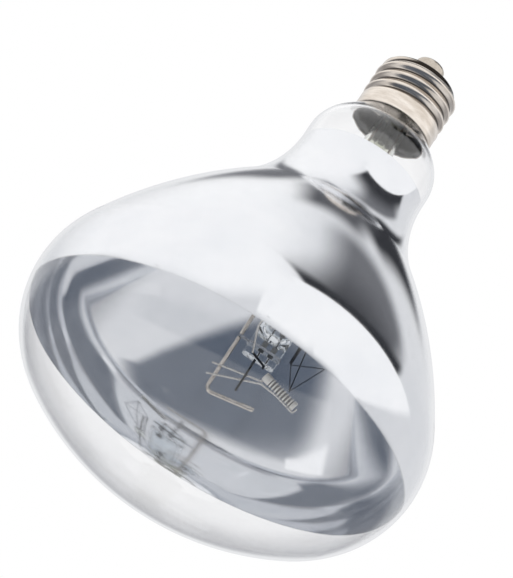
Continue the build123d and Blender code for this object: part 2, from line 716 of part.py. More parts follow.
def beside_probe(start, end):
    """Point of a straight wire where it passes the probe's lead."""
    return start + (end - start) * ((start.X - PROBE_X) / (start.X - end.X))


def probe_lead():
    """Dark lead of the starting probe, out of the front pressed end and up to the brace wire."""
    weld = beside_probe(*brace_points()[:2])
    crossing = beside_probe(*tie_points())
    front_y = min(weld.Y, crossing.Y) - (TIE_DIAMETER + ARC_LEAD_DIAMETER) / 2 - FIT_GAP
    turn_z = ARC_FRONT_Z + FRONT_LEAD_RISE
    return wire(
        [
            (PROBE_X, 0, foil_span(1)[1] + FIT_GAP),
            (PROBE_X, 0, turn_z),
            (PROBE_X, front_y, turn_z - front_y),
            (PROBE_X, front_y, weld.Z + PROBE_LEAD_PAST),
        ],
        ARC_LEAD_DIAMETER, ARC_LEAD_BEND,
    )


def filament_post():
    """Post on the other lead, bent out past the arc tube."""
    turn_z = ROD_BASE_Z + POST_RISE
    return wire(
        [
            (-LEAD_X, 0, ROD_BASE_Z),
            (-LEAD_X, 0, turn_z),
            (POST_X, POST_BACK, turn_z + POST_RISE),
            POST_TOP,
        ],
        POST_DIAMETER, POST_RISE / 2,
    )


def filament_points():
    """Corners of the filament, from the post to the feed wire."""
    front = Vector(POST_X, POST_BACK, ARC_FRONT_Z)
    rear = Vector(POST_X, POST_BACK, ARC_REAR_Z)
    below_feed = (FILAMENT_DIAMETER + FEED_DIAMETER) / 2
    return [
        POST_TOP + Vector(0, 0, FILAMENT_DIAMETER + FIT_GAP),
        front + Vector(FILAMENT_SIDE[0], 0, FILAMENT_SIDE[1]),
        front + Vector(FILAMENT_FRONT[0], 0, FILAMENT_FRONT[1]),
        front + Vector(0, -FILAMENT_RETURN_FORWARD, FILAMENT_RETURN_END),
        rear + Vector(*FILAMENT_TAIL, FILAMENT_TAIL_RISE),
        feed_foot() - Vector(0, 0, below_feed),
    ]


def ballast_filament():
    """Fine tungsten coil in straight spans between its supports."""
    return wire(filament_points(), FILAMENT_DIAMETER, FILAMENT_BEND)


def hook_feet():
    """Where the three hooks leave the bead."""
    top = Vector(POST_X, POST_BACK, BEAD_BASE_Z + BEAD_HEIGHT)
    turns = [radians(angle) for angle in HOOK_ANGLES]
    return [top + Vector(cos(turn), sin(turn), 0) * HOOK_RING for turn in turns]


def hook_tips():
    """Ends of the hooks, beside the filament's corners."""
    _, side, front, back, *_ = filament_points()
    beside = FILAMENT_DIAMETER / 2 + HOOK_DIAMETER / 2 + FIT_GAP
    return [side - Vector(beside, 0, 0), front + Vector(0, beside, 0), back + Vector(beside, 0, 0)]


def filament_hooks():
    """Three dark wires that spread from the bead to the filament's corners."""
    hooks = Part()
    for foot, tip in zip(hook_feet(), hook_tips()):
        root = foot - Vector(0, 0, HOOK_SINK)
        clear = foot + Vector(0, 0, HOOK_SINK)
        hooks += wire([root, clear, tip], HOOK_DIAMETER, HOOK_DIAMETER)
    return hooks


def hook_bead():
    """Glass bead melted around the post, which holds the hooks."""
    top = BEAD_BASE_Z + BEAD_HEIGHT
    bead = Pos(POST_X, POST_BACK, 0) * slab(BEAD_DIAMETER / 2, BEAD_BASE_Z, top)
    bead = fillet(bead.edges().filter_by(GeomType.CIRCLE), BEAD_ROUND)
    bead -= upright_hole(POST_X, POST_DIAMETER, BEAD_BASE_Z, top, POST_BACK)
    for foot in hook_feet():
        bead -= upright_hole(foot.X, HOOK_DIAMETER, top - HOOK_SINK - FIT_GAP, top, foot.Y)
    return bead


PIECES = {
    "glass_envelope": glass_envelope,
    "reflector_coating": reflector_coating,
    "stem": stem,
    "exhaust_tube": exhaust_tube,
    "cap_shell": cap_shell,
    "cap_insulator": cap_insulator,
    "centre_contact": centre_contact,
    "contact_solder": contact_solder,
    "shell_solder": shell_solder,
    "basing_cement": basing_cement,
    "shell_lead": shell_lead,
    "contact_lead": contact_lead,
    "support_rod": support_rod,
    "filament_post": filament_post,
    "arc_tube": arc_tube,
    "front_electrode": lambda: electrode(FRONT_ELECTRODE_X, 1),
    "rear_electrode": lambda: electrode(ARC_X, -1),
    "starting_probe": starting_probe,
    "seal_foils": seal_foils,
    "mercury_bead": mercury_bead,
    "rear_strap": rear_strap,
    "front_strap": front_strap,
    "rear_electrode_lead": rear_electrode_lead,
    "front_electrode_lead": front_electrode_lead,
    "feed_wire": feed_wire,
    "probe_lead": probe_lead,
    "starting_resistor": starting_resistor,
    "resistor_tie_wire": resistor_tie_wire,
    "resistor_brace_wire": resistor_brace_wire,
    "ballast_filament": ballast_filament,
    "filament_hooks": filament_hooks,
    "hook_bead": hook_bead,
}

os.makedirs("parts", exist_ok=True)
for node, build in PIECES.items():
    save(node, build())
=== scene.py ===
"""Self-ballasted mercury vapour reflector bulb: blown glass, mirror film, screw cap and the mount inside."""
import logging
import math
from dataclasses import dataclass, replace
from enum import Enum
from typing import ClassVar, Sequence

import bpy
from mathutils import Matrix, Vector


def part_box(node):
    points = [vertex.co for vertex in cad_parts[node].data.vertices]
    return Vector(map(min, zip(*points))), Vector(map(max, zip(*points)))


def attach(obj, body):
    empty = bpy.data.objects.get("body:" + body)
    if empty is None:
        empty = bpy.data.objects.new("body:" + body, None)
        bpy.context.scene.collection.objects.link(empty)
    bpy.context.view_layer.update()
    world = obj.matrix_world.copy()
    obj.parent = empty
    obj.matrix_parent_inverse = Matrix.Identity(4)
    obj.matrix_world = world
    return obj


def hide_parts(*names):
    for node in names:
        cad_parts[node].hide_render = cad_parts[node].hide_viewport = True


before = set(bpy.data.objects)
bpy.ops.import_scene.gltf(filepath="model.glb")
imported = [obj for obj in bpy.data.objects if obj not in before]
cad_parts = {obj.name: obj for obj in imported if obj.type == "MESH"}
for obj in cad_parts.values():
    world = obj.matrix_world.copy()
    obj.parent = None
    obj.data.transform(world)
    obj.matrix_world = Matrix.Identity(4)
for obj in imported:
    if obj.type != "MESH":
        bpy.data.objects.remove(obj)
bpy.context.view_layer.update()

MM = 0.001
BODY = "root"
MERGE_MM = 0.0005
SMOOTH_TURNED = 40.0
SMOOTH_WIRE = 50.0
CORNER_STEPS = 8
TAIL_TURNS = 1.5
GRAIN_RANGE = (0.3, 0.7)
GRAIN_DETAIL = 4.0
GRAIN_CONTRAST = 0.6
WAVE_DETAIL = 1.0
WAVE_STRENGTH = 0.2
# colour sockets of a mix node, by number because their names repeat
MIX_FIRST = 6
MIX_SECOND = 7
MIX_RESULT = 2
MIRRORED_DEPTH = 0.5
WHITE = "#FFFFFF"
LOG = logging.getLogger("reptile_bulb")

Point = tuple[float, float]
Route = list[Vector]


class Slot(Enum):
    """Names of the record's material slots."""

    CLEAR_GLASS = "clear_glass"
    MIRROR_FILM = "mirror_film"
    NICKEL_PLATE = "nickel_plate"
    CEMENT = "cement"
    TUNGSTEN = "tungsten"


def linear(hex_colour: str) -> tuple[float, float, float, float]:
    """Turn an sRGB hex colour into linear light.

    Args:
        hex_colour: Six hex digits after a hash sign.

    Returns:
        Red, green, blue and full alpha, linear.
    """
    channels = [int(hex_colour[i:i + 2], 16) / 255 for i in (1, 3, 5)]
    return (*[c / 12.92 if c <= 0.04045 else ((c + 0.055) / 1.055) ** 2.4 for c in channels], 1.0)


def add_node(tree: bpy.types.NodeTree, kind: str, settings: dict | None = None,
             links: dict | None = None) -> bpy.types.Node:
    """Add one shader node with its settings and incoming links.

    Args:
        tree: Node tree that gets the node.
        kind: Blender's name of the node type.
        settings: Attribute names, or input sockets by name or number, and their values.
        links: Input sockets by name or number, and the output sockets that feed them.

    Returns:
        The new node.
    """
    node = tree.nodes.new(kind)
    for key, value in (settings or {}).items():
        if isinstance(key, str) and hasattr(node, key):
            setattr(node, key, value)
        else:
            node.inputs[key].default_value = value
    for key, source in (links or {}).items():
        tree.links.new(source, node.inputs[key])
    return node


def start_material(name: str) -> tuple[bpy.types.Material, bpy.types.NodeTree, bpy.types.Node]:
    """Make an empty node material.

    Args:
        name: Name of the real material.

    Returns:
        The material, its node tree and its output node.
    """
    material = bpy.data.materials.new(name)
    material.use_nodes = True
    tree = material.node_tree
    tree.nodes.clear()
    return material, tree, tree.nodes.new("ShaderNodeOutputMaterial")


@dataclass(frozen=True)
class GrooveShade:
    """Painted shade in grooves, between a root radius and a crest radius about an axis, in millimetres."""

    colour: str
    root_r: float
    crest_r: float
    start: tuple[float, float, float] = (0.0, 0.0, 0.0)
    end: tuple[float, float, float] = (0.0, 0.0, 1.0)

    def clean(self, tree: bpy.types.NodeTree, place: bpy.types.NodeSocket) -> bpy.types.NodeSocket:
        """Add the nodes that tell how far a place is out of the painted shade.

        Args:
            tree: Node tree of the material.
            place: Socket with the place in object coordinates.

        Returns:
            Socket with the share, 0 at the root and 1 at the crest.
        """
        start = Vector(self.start) * MM
        axis = (Vector(self.end) - Vector(self.start)).normalized()
        offset = add_node(tree, "ShaderNodeVectorMath", {"operation": "SUBTRACT", 1: start}, {0: place})
        around = add_node(tree, "ShaderNodeVectorMath", {"operation": "CROSS_PRODUCT", 1: axis},
                          {0: offset.outputs["Vector"]})
        radius = add_node(tree, "ShaderNodeVectorMath", {"operation": "LENGTH"},
                          {0: around.outputs["Vector"]})
        share = add_node(tree, "ShaderNodeMapRange",
                         {"interpolation_type": "SMOOTHSTEP", "From Min": self.root_r * MM,
                          "From Max": self.crest_r * MM}, {"Value": radius.outputs["Value"]})
        return share.outputs["Result"]


@dataclass(frozen=True)
class Finish:
    """A solid surface: two tones mixed by a grain, with the grain in its gloss and relief too."""

    name: str
    colour: str
    second: str
    metallic: float = 0.0
    roughness: tuple[float, float] = (0.3, 0.5)
    grain_mm: float = 1.0
    stretch: tuple[float, float, float] = (1.0, 1.0, 1.0)
    relief_mm: float = 0.0
    coat: float = 0.0
    groove: GrooveShade | None = None
    fade: Point | None = None

    def material(self) -> bpy.types.Material:
        """Build the node material of this finish.

        Returns:
            The material.
        """
        material, tree, output = start_material(self.name)
        place = add_node(tree, "ShaderNodeTexCoord")
        scale = [s / (self.grain_mm * MM) for s in self.stretch]
        mapping = add_node(tree, "ShaderNodeMapping", {"Scale": scale}, {"Vector": place.outputs["Object"]})
        grain = add_node(tree, "ShaderNodeTexNoise",
                         {"Scale": 1.0, "Detail": GRAIN_DETAIL, "Roughness": GRAIN_CONTRAST},
                         {"Vector": mapping.outputs["Vector"]})
        tone = add_node(tree, "ShaderNodeValToRGB", {}, {"Fac": grain.outputs["Fac"]})
        for element, place_on_ramp, hex_colour in zip(tone.color_ramp.elements, GRAIN_RANGE,
                                                      (self.second, self.colour)):
            element.position = place_on_ramp
            element.color = linear(hex_colour)
        gloss = add_node(tree, "ShaderNodeMapRange",
                         {"From Min": GRAIN_RANGE[0], "From Max": GRAIN_RANGE[1],
                          "To Min": self.roughness[0], "To Max": self.roughness[1]},
                         {"Value": grain.outputs["Fac"]})
        colour = tone.outputs["Color"]
        # painted shade darkens the grooves, darkest at their root
        if self.groove:
            share = self.groove.clean(tree, place.outputs["Object"])
            mix = add_node(tree, "ShaderNodeMix",
                           {"data_type": "RGBA", MIX_FIRST: linear(self.groove.colour)},
                           {"Factor": share, MIX_SECOND: colour})
            colour = mix.outputs[MIX_RESULT]
        shader = add_node(tree, "ShaderNodeBsdfPrincipled",
                          {"Metallic": self.metallic, "Coat Weight": self.coat},
                          {"Base Color": colour, "Roughness": gloss.outputs["Result"]})
        if self.fade:
            parts = add_node(tree, "ShaderNodeSeparateXYZ", {}, {"Vector": place.outputs["Object"]})
            cover = add_node(tree, "ShaderNodeMapRange",
                             {"interpolation_type": "SMOOTHSTEP", "From Min": self.fade[1] * MM,
                              "From Max": self.fade[0] * MM}, {"Value": parts.outputs["Z"]})
            tree.links.new(cover.outputs["Result"], shader.inputs["Alpha"])
        if self.relief_mm:
            bump = add_node(tree, "ShaderNodeBump", {"Distance": self.relief_mm * MM, "Strength": 1.0},
                            {"Height": grain.outputs["Fac"]})
            tree.links.new(bump.outputs["Normal"], shader.inputs["Normal"])
        tree.links.new(shader.outputs["BSDF"], output.inputs["Surface"])
        return material


@dataclass(frozen=True)
class Glass:
    """A clear glass: slight waves from blowing, and faint haze that varies over the surface."""

    name: str
    tint: str
    second: str
    ior: float = 1.5
    roughness: tuple[float, float] = (0.0, 0.02)
    wave_mm: float = 30.0
    relief_mm: float = 0.02

    def material(self) -> bpy.types.Material:
        """Build the node material of this glass.

        Returns:
            The material.
        """
        material, tree, output = start_material(self.name)
        place = add_node(tree, "ShaderNodeTexCoord")
        wave = add_node(tree, "ShaderNodeTexNoise",
                        {"Scale": 1 / (self.wave_mm * MM), "Detail": WAVE_DETAIL},
                        {"Vector": place.outputs["Object"]})
        tone = add_node(tree, "ShaderNodeValToRGB", {}, {"Fac": wave.outputs["Fac"]})
        tone.color_ramp.elements[0].color = linear(self.second)
        tone.color_ramp.elements[1].color = linear(self.tint)
        gloss = add_node(tree, "ShaderNodeMapRange",
                         {"To Min": self.roughness[0], "To Max": self.roughness[1]},
                         {"Value": wave.outputs["Fac"]})
        bump = add_node(tree, "ShaderNodeBump",
                        {"Distance": self.relief_mm * MM, "Strength": WAVE_STRENGTH},
                        {"Height": wave.outputs["Fac"]})
        shader = add_node(tree, "ShaderNodeBsdfPrincipled", {"IOR": self.ior, "Transmission Weight": 1.0},
                          {"Base Color": tone.outputs["Color"], "Roughness": gloss.outputs["Result"],
                           "Normal": bump.outputs["Normal"]})
        tree.links.new(shader.outputs["BSDF"], output.inputs["Surface"])
        return material


# Blown soda-lime glass, fire-polished: nearly colourless, with a mirror-smooth skin.
CLEAR_GLASS = Glass("blown_soda_lime_glass", "#FDFDFD", "#F8F8F9")
# Lead glass of the stem, drawn and pressed: greyer, with drawing lines and a rounder gloss.
STEM_GLASS = Glass("drawn_lead_glass", "#F4F4EE", "#E4E6DE", 1.56, (0.0, 0.06), 6.0, 0.06)
# Fused quartz, drawn and pinched in a flame: water-clear, with bright edges.
QUARTZ = Glass("fused_quartz", "#FCFEFF", "#F0F4F6", 1.46, (0.0, 0.03), 5.0, 0.03)
# Aluminium evaporated in vacuum onto the glass: a neutral mirror with a faint haze, thin at its front edge.
MIRROR_FILM = Finish("evaporated_aluminium", "#F1F2F4", "#E9EBEE", 1.0, (0.05, 0.085), 18.0)
# Nickel plate on rolled brass: warm grey, with painted shade that blackens the grooves between the crests.
NICKEL_PLATE = Finish("nickel_plated_brass", "#EFE7DE", "#CDC2B6", 1.0, (0.14, 0.26), 3.0,
                      (0.35, 0.35, 1.6), 0.002, groove=GrooveShade("#2E2925", 12.1, 12.24))
# Black cap glass, poured: deep gloss with a faint orange peel.
CAP_GLASS = Finish("black_cap_glass", "#17171A", "#0C0C0E", 0.0, (0.08, 0.2), 2.0, relief_mm=0.03, coat=0.5)
# Tinned brass of the contact, stamped and dulled by handling.
CONTACT_METAL = Finish("tinned_brass", "#CFC6BB", "#B4AA9E", 1.0, (0.14, 0.26), 1.6, relief_mm=0.006)
# Tin solder, set from a drop: bright, with a faint frost.
SOLDER = Finish("tin_solder", "#CFCAC2", "#B3AEA7", 1.0, (0.16, 0.32), 1.2, relief_mm=0.015)
# Basing cement, baked: matt olive-grey with pores.
CEMENT = Finish("baked_basing_cement", "#6E6A5A", "#504D41", 0.0, (0.75, 0.95), 0.8, relief_mm=0.1)
# Copper-clad lead wire, browned by the sealing flame.
LEAD_WIRE = Finish("copper_clad_wire", "#8E6448", "#5B3D2C", 1.0, (0.3, 0.5), 1.0, (1.0, 1.0, 0.3))
# Drawn nickel rod: bright warm grey, browned by the sealing heat in lines along its length.
NICKEL_ROD = Finish("drawn_nickel_rod", "#E6E0D8", "#ABA298", 1.0, (0.05, 0.12), 0.8, (2.0, 2.0, 0.25))
# Drawn nickel wire: pale and bright, a little duller here and there.
NICKEL_WIRE = Finish("drawn_nickel_wire", "#E8E5E0", "#C6C2BC", 1.0, (0.08, 0.16), 0.8, (2.0, 2.0, 0.25))
# Molybdenum wire, blackened in the flame: dark with a dull metal gloss.
DARK_WIRE = Finish("blackened_molybdenum", "#26262A", "#101012", 0.7, (0.3, 0.55), 0.6)
# Drawn tungsten: dark grey metal with a fine grain.
TUNGSTEN = Finish("drawn_tungsten", "#55555A", "#2E2E32", 1.0, (0.25, 0.45), 0.4)
# Molybdenum foil: etched thin strip, dull grey.
FOIL = Finish("etched_molybdenum_foil", "#8C8A86", "#6A6864", 1.0, (0.3, 0.5), 0.5)
# Liquid mercury: a clean mirror.
MERCURY = Finish("liquid_mercury", "#E2E3E6", "#CFD1D5", 1.0, (0.0, 0.04), 2.0)
# Nickel strip, sheared and bent: soft gloss, duller in patches; its cool blue-grey tint is a painted
# reflection.
STRAP_SHEET = Finish("nickel_strip", "#AEB1B6", "#85888D", 1.0, (0.1, 0.2), 1.0)
# Glazed ceramic sleeve fired over the winding: near white under a thick gloss, with painted shade greying it
# between its ribs.
SLEEVE = Finish("glazed_ceramic_sleeve", "#F6F5F2", "#E6E3DD", 0.0, (0.1, 0.24), 0.9,
                relief_mm=0.01, coat=1.0,
                groove=GrooveShade("#66635F", 1.12, 1.34, (-8.5, -4.0, 118.4), (-20.5, -4.0, 121.5)))


def deselect() -> None:
    """Leave object mode and select nothing."""
    if bpy.context.object and bpy.context.object.mode != "OBJECT":
        bpy.ops.object.mode_set(mode="OBJECT")
    bpy.ops.object.select_all(action="DESELECT")


def arc_points(start: Point, heading: float, radius: float, turn: float, steps: int) -> list[Point]:
    """Points along an arc of a radius-and-height outline.

    Args:
        start: Radius and height where the arc begins.
        heading: Direction there, in degrees from +radius towards +height.
        radius: Radius of the arc.
        turn: Turn along the arc in degrees, positive to the left.
        steps: Number of points after the start.

    Returns:
        The points after the start.
    """
    side = math.copysign(90, turn)
    to_centre = math.radians(heading + side)
    centre = (start[0] + radius * math.cos(to_centre), start[1] + radius * math.sin(to_centre))
    points = []
    for step in range(1, steps + 1):
        angle = math.radians(heading - side + turn * step / steps)
        points.append((centre[0] + radius * math.cos(angle), centre[1] + radius * math.sin(angle)))
    return points


def clip_outline(outline: Sequence[Point], low: float, high: float) -> list[Point]:
    """Keep the stretch of an outline between two heights.

    Args:
        outline: Radius and height of its points, with rising heights.
        low: Lowest height to keep.
        high: Highest height to keep.

    Returns:
        The stretch, with its ends at exactly those heights.
    """
    kept: list[Point] = []
    for (r0, z0), (r1, z1) in zip(outline, outline[1:]):
        for height in (low, high):
            if z0 < height <= z1:
                kept.append((r0 + (r1 - r0) * (height - z0) / (z1 - z0), height))
        if low < z1 < high:
            kept.append((r1, z1))
    return sorted(kept, key=lambda point: point[1])


def turned(name: str, outline: Sequence[Point], steps: int, closed: bool = True) -> bpy.types.Object:
    """Turn an outline about the axis, as on a lathe.

    Args:
        name: Name of the new piece.
        outline: Radius and height of the outline's points, in millimetres.
        steps: Number of facets round the axis.
        closed: Whether the last point joins the first.

    Returns:
        The turned piece, smooth, with its faces outwards.
    """
    deselect()
    bpy.ops.mesh.primitive_circle_add(vertices=len(outline), radius=MM, fill_type="NOTHING")
    piece = bpy.context.object
    piece.name = name
    piece.data.name = name
    for vertex, (radius, height) in zip(piece.data.vertices, outline):
        vertex.co = (radius * MM, 0, height * MM)
    bpy.ops.object.transform_apply(location=True, rotation=True, scale=True)
    bpy.ops.object.mode_set(mode="EDIT")
    if not closed:
        bpy.ops.mesh.select_all(action="DESELECT")
        bpy.ops.object.mode_set(mode="OBJECT")
        ends = {0, len(outline) - 1}
        for edge in piece.data.edges:
            edge.select = set(edge.vertices) == ends
        bpy.ops.object.mode_set(mode="EDIT")
        bpy.ops.mesh.select_mode(type="EDGE")
        bpy.ops.mesh.delete(type="EDGE")
    bpy.ops.mesh.select_mode(type="VERT")
    bpy.ops.mesh.select_all(action="SELECT")
    bpy.ops.mesh.spin(steps=steps, angle=2 * math.pi, center=(0, 0, 0), axis=(0, 0, 1))
    bpy.ops.mesh.select_all(action="SELECT")
    bpy.ops.mesh.remove_doubles(threshold=MERGE_MM * MM)
    bpy.ops.mesh.normals_make_consistent(inside=False)
    bpy.ops.object.mode_set(mode="OBJECT")
    bpy.ops.object.shade_smooth_by_angle(angle=math.radians(SMOOTH_TURNED))
    return piece


def rounded_route(corners: Sequence[Vector], bend: float, spacing: float) -> Route:
    """Walk along runs whose corners are rounded.

    Args:
        corners: Ends of the runs, in millimetres.
        bend: Distance from a corner at which its rounding begins.
        spacing: Distance between points.

    Returns:
        Points at even steps, in millimetres.
    """
    rough = [corners[0]]
    for before, corner, after in zip(corners, corners[1:], corners[2:]):
        start = corner + (before - corner).normalized() * bend
        end = corner + (after - corner).normalized() * bend
        for step in range(CORNER_STEPS + 1):
            share = step / CORNER_STEPS
            rough.append(start * (1 - share) ** 2 + corner * 2 * share * (1 - share) + end * share ** 2)
    rough.append(corners[-1])
    route = [rough[0]]
    left = spacing
    for first, last in zip(rough, rough[1:]):
        length = (last - first).length
        place = left
        while place <= length:
            route.append(first.lerp(last, place / length))
            place += spacing
        left = place - length
    return route


def wound(route: Route, radii: Sequence[float], pitch: float) -> Route:
    """Wind a helix round a route.

    Args:
        route: Points of the route at even steps.
        radii: Radius of the helix at the start, over most of its length and at the end.
        pitch: Length along the route of one turn.

    Returns:
        The helix, with one point for each point of the route.
    """
    spacing = (route[1] - route[0]).length
    side = (route[1] - route[0]).orthogonal().normalized()
    tail = max(1, round(TAIL_TURNS * pitch / spacing))
    helix = []
    for i, point in enumerate(route):
        ahead = (route[min(i + 1, len(route) - 1)] - route[max(i - 1, 0)]).normalized()
        side = (side - ahead * side.dot(ahead)).normalized()
        share = min(1.0, i / tail)
        end_share = min(1.0, (len(route) - 1 - i) / tail)
        radius = radii[0] + (radii[1] - radii[0]) * share
        radius = radii[2] + (radius - radii[2]) * end_share
        angle = 2 * math.pi * i * spacing / pitch
        helix.append(point + (side * math.cos(angle) + ahead.cross(side) * math.sin(angle)) * radius)
    return helix


def wire(name: str, route: Sequence[Vector], radius: float, rounding: int) -> bpy.types.Object:
    """Draw a round wire along points.

    Args:
        name: Name of the wire.
        route: Its points, in millimetres.
        radius: Radius of the wire, in millimetres.
        rounding: Pairs of facets round the wire, beyond its first four facets.

    Returns:
        The wire as a closed mesh.
    """
    deselect()
    bpy.ops.mesh.primitive_circle_add(vertices=len(route), radius=MM, fill_type="NOTHING")
    piece = bpy.context.object
    piece.name = name
    for vertex, point in zip(piece.data.vertices, route):
        vertex.co = point * MM
    ends = {0, len(route) - 1}
    for edge in piece.data.edges:
        edge.select = set(edge.vertices) == ends
    for vertex in piece.data.vertices:
        vertex.select = vertex.index in ends
    bpy.ops.object.mode_set(mode="EDIT")
    bpy.ops.mesh.select_mode(type="EDGE")
    bpy.ops.mesh.delete(type="EDGE")
    bpy.ops.object.mode_set(mode="OBJECT")
    bpy.ops.object.convert(target="CURVE")
    piece = bpy.context.object
    piece.data.bevel_depth = radius * MM
    piece.data.bevel_resolution = rounding
    piece.data.use_fill_caps = True
    bpy.ops.object.convert(target="MESH")
    piece = bpy.context.object
    piece.data.name = name
    bpy.ops.object.mode_set(mode="EDIT")
    bpy.ops.mesh.select_all(action="SELECT")
    bpy.ops.mesh.remove_doubles(threshold=MERGE_MM * MM)
    bpy.ops.mesh.normals_make_consistent(inside=False)
    bpy.ops.object.mode_set(mode="OBJECT")
    bpy.ops.object.shade_smooth_by_angle(angle=math.radians(SMOOTH_WIRE))
    return piece


def join(name: str, pieces: Sequence[bpy.types.Object]) -> bpy.types.Object:
    """Join pieces into one.

    Args:
        name: Name of the joined piece.
        pieces: The pieces, of which the first stays.

    Returns:
        The joined piece.
    """
    deselect()
    for piece in pieces:
        piece.select_set(True)
    bpy.context.view_layer.objects.active = pieces[0]
    bpy.ops.object.join()
    pieces[0].name = name
    pieces[0].data.name = name
    return pieces[0]


def dress(piece: bpy.types.Object, material: bpy.types.Material, node: str) -> bpy.types.Object:
    """Give a new piece its material and its body, and hide the CAD node that it stands for.

    Args:
        piece: The new piece.
        material: Its material.
        node: CAD node that it replaces.

    Returns:
        The same piece.
    """
    piece.data.materials.clear()
    piece.data.materials.append(material)
    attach(piece, BODY)
    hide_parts(node)
    LOG.info("%s: %d faces", piece.name, len(piece.data.polygons))
    return piece


def paint(node: str, material: bpy.types.Material) -> None:
    """Give a CAD node a material.

    Args:
        node: Name of the node.
        material: Its material.
    """
    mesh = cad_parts[node].data
    mesh.materials.clear()
    mesh.materials.append(material)
    LOG.info("%s: painted", node)


@dataclass
class Envelope:
    """Blown glass and the mirror film inside it, from tangent arcs, in millimetres and degrees."""

    rim_z: float = 27.0
    neck_depth: float = 10.5
    neck_end_r: float = 10.945
    seat_r: float = 12.45
    flare_radius: float = 4.0
    shoulder_angle: float = 42.0
    shoulder_radius: float = 12.5
    neck_r: float = 20.45
    neck_straight: float = 3.2
    throat_radius: float = 39.9
    throat_angle: float = 44.3
    crown_angle: float = 25.8
    rim_radius: float = 31.0
    bulb_r: float = 62.5
    face_radius: float = 85.5
    wall: float = 1.0
    film_gap: float = 0.06
    film_thickness: float = 0.1
    film_fade: float = 0.6
    flare_steps: int = 8
    shoulder_steps: int = 18
    body_steps: int = 40
    rim_steps: int = 50
    face_steps: int = 30
    steps: int = 192

    def outline(self, depth: float) -> list[Point]:
        """Outline of the blown form at a depth in its wall.

        Args:
            depth: Distance from the outside, in millimetres.

        Returns:
            Points from the neck's end to the axis.
        """
        shoulder, throat, crown = (math.radians(a) for a in
                                   (self.shoulder_angle, self.throat_angle, self.crown_angle))
        flare_gain = self.flare_radius * (1 - math.cos(shoulder))
        shoulder_gain = self.shoulder_radius * (1 - math.cos(shoulder))
        cone_length = (self.neck_r - self.neck_end_r - flare_gain - shoulder_gain) / math.sin(shoulder)
        seat_drop = (self.seat_r - self.neck_end_r - flare_gain) / math.tan(shoulder)
        tube_top = self.rim_z - seat_drop - self.flare_radius * math.sin(shoulder)
        body_gain = (self.bulb_r - self.neck_r - self.throat_radius * (1 - math.cos(throat))
                     - self.rim_radius * (1 - math.cos(crown)))
        body_radius = body_gain / (math.cos(crown) - math.cos(throat))
        inward = self.bulb_r - self.rim_radius
        face_turn = math.degrees(math.acos(inward / (self.face_radius - self.rim_radius)))

        tube_r = self.neck_end_r - depth
        points = [(tube_r, self.rim_z - self.neck_depth), (tube_r, tube_top)]
        points += arc_points(points[-1], 90, self.flare_radius + depth, -self.shoulder_angle,
                             self.flare_steps)
        slope = 90 - self.shoulder_angle
        points.append((points[-1][0] + cone_length * math.cos(math.radians(slope)),
                       points[-1][1] + cone_length * math.sin(math.radians(slope))))
        points += arc_points(points[-1], slope, self.shoulder_radius - depth, self.shoulder_angle,
                             self.shoulder_steps)
        points.append((points[-1][0], points[-1][1] + self.neck_straight))
        points += arc_points(points[-1], 90, self.throat_radius + depth, -self.throat_angle,
                             self.body_steps)
        points += arc_points(points[-1], 90 - self.throat_angle, body_radius - depth,
                             self.throat_angle - self.crown_angle, self.body_steps)
        points += arc_points(points[-1], 90 - self.crown_angle, self.rim_radius - depth,
                             self.crown_angle + face_turn, self.rim_steps)
        points += arc_points(points[-1], 90 + face_turn, self.face_radius - depth, 90 - face_turn,
                             self.face_steps)
        points[-1] = (0.0, points[-1][1])
        return points

    def glass(self) -> bpy.types.Object:
        """Model the blown glass as a wall with both its skins.

        Returns:
            The glass.
        """
        profile = self.outline(self.wall)[::-1] + self.outline(0)
        piece = turned("glass_envelope_blown", profile, self.steps, closed=False)
        return dress(piece, CLEAR_GLASS.material(), "glass_envelope")

    def film(self) -> bpy.types.Object:
        """Model the mirror film between its two masked edges, which are the CAD node's.

        Returns:
            The film.
        """
        low, high = (corner.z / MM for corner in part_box("reflector_coating"))
        outside = self.wall + self.film_gap
        skins = []
        for depth in (outside, outside + self.film_thickness):
            skins.append(clip_outline(self.outline(depth), low, high))
        piece = turned("reflector_film", skins[0] + skins[1][::-1], self.steps)
        film = replace(MIRROR_FILM, fade=(high - self.film_fade, high))
        return dress(piece, film.material(), "reflector_coating")

    def build(self) -> None:
        """Build the glass and the film."""
        self.glass()
        self.film()


